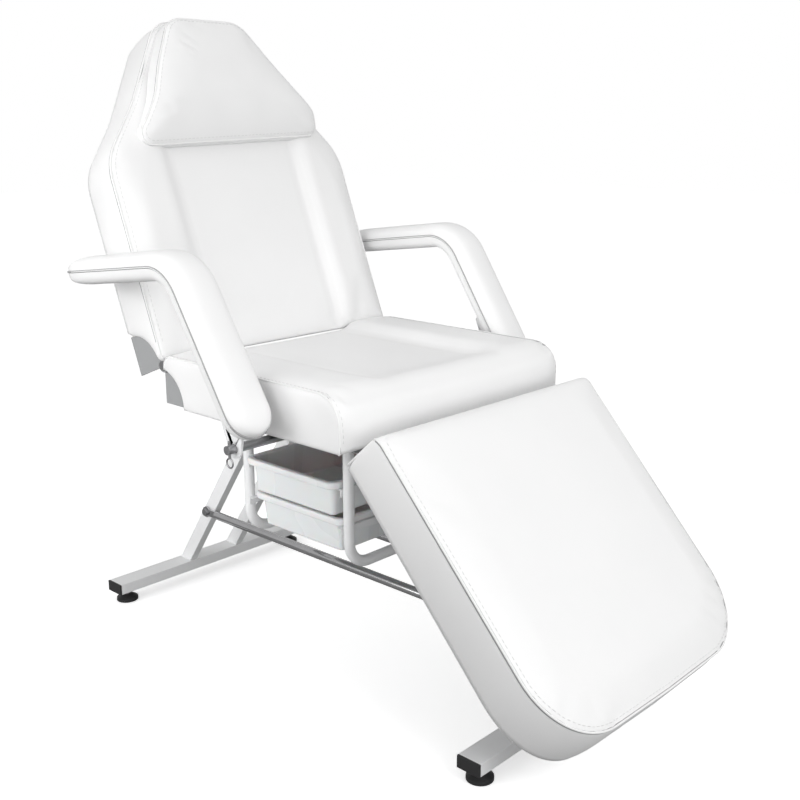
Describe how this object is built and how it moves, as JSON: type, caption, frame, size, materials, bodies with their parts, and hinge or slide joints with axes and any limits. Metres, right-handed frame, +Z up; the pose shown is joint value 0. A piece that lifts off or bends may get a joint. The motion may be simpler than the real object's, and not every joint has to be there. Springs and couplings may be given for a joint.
{
  "type": "beauty bed",
  "caption": "White padded salon treatment bed with reclining backrest, lifting leg rest, padded armrests, a head pillow and pull-out trays under the seat on a steel frame",
  "frame": {"origin": "centre of the bounding box on the floor under the bed", "axes": "+X to the right of someone seated, across the bed; +Y towards the back of the bed; +Z up; the foot end points along -Y"},
  "size_m": [0.8016, 1.2545, 1.2226],
  "materials": {
    "leatherette": "satin",
    "frame_paint": "gloss",
    "chrome_plate": "polished",
    "hinge_grey": "satin",
    "black_plastic": "matte",
    "tray_plastic": "gloss",
    "plywood": "matte",
    "zinc_steel": "satin"
  },
  "bodies": {
    "frame": {"rear_floor_bar": "frame_paint", "front_floor_bar": "frame_paint", "bar_end_caps": "black_plastic", "foot_pads": "black_plastic", "foot_studs": "zinc_steel", "foot_lock_nuts": "zinc_steel", "rear_leg_left": "frame_paint", "rear_leg_right": "frame_paint", "front_leg_left": "frame_paint", "front_leg_right": "frame_paint", "rear_cross_rail": "frame_paint", "front_cross_rail": "frame_paint", "side_rail_left": "frame_paint", "side_rail_right": "frame_paint", "stay_rod_left": "chrome_plate", "stay_rod_right": "chrome_plate", "stay_bolts": "zinc_steel", "tray_hanger_rear": "frame_paint", "tray_hanger_front": "frame_paint", "upper_tray_runners": "frame_paint", "lower_tray_runners": "frame_paint", "seat_hinge_plate_left": "hinge_grey", "seat_hinge_plate_right": "hinge_grey", "back_hinge_pins": "zinc_steel", "seat_board": "plywood", "seat_cushion": "leatherette", "leg_hinge_bracket_left": "frame_paint", "leg_hinge_bracket_right": "frame_paint", "leg_hinge_rod": "zinc_steel", "arm_axle_left": "zinc_steel", "arm_axle_right": "zinc_steel", "arm_ring_clips": "zinc_steel"},
    "backrest": {"back_hinge_plate_left": "hinge_grey", "back_hinge_plate_right": "hinge_grey", "back_board": "plywood", "back_cushion": "leatherette", "head_pillow": "leatherette"},
    "leg_rest": {"leg_rest_cushion": "leatherette", "leg_rest_board": "plywood", "leg_rest_rail_left": "frame_paint", "leg_rest_rail_right": "frame_paint"},
    "armrest_left": {"arm_pad_left": "leatherette", "arm_core_left": "plywood", "arm_bracket_left": "frame_paint"},
    "armrest_right": {"arm_pad_right": "leatherette", "arm_core_right": "plywood", "arm_bracket_right": "frame_paint"},
    "upper_drawer": {"upper_tray": "tray_plastic"},
    "lower_drawer": {"lower_tray": "tray_plastic"}
  },
  "joints": [
    {"name": "back_recline", "type": "hinge", "parent": "frame", "child": "backrest", "pos_m": [0, 0.3029, 0.573], "axis": [-1, 0, 0], "range_deg": [0, 66]},
    {"name": "leg_lift", "type": "hinge", "parent": "frame", "child": "leg_rest", "pos_m": [0, -0.1741, 0.482], "axis": [-1, 0, 0], "range_deg": [0, 46]},
    {"name": "arm_left_swing", "type": "hinge", "parent": "frame", "child": "armrest_left", "pos_m": [-0.357, 0.0079, 0.4875], "axis": [1, 0, 0], "range_deg": [0, 80]},
    {"name": "arm_right_swing", "type": "hinge", "parent": "frame", "child": "armrest_right", "pos_m": [0.357, 0.0079, 0.4875], "axis": [1, 0, 0], "range_deg": [0, 80]},
    {"name": "upper_tray_slide", "type": "slide", "parent": "frame", "child": "upper_drawer", "axis": [-1, 0, 0], "range_m": [-0.02, 0.24]},
    {"name": "lower_tray_slide", "type": "slide", "parent": "frame", "child": "lower_drawer", "axis": [-1, 0, 0], "range_m": [0, 0.26]}
  ]
}
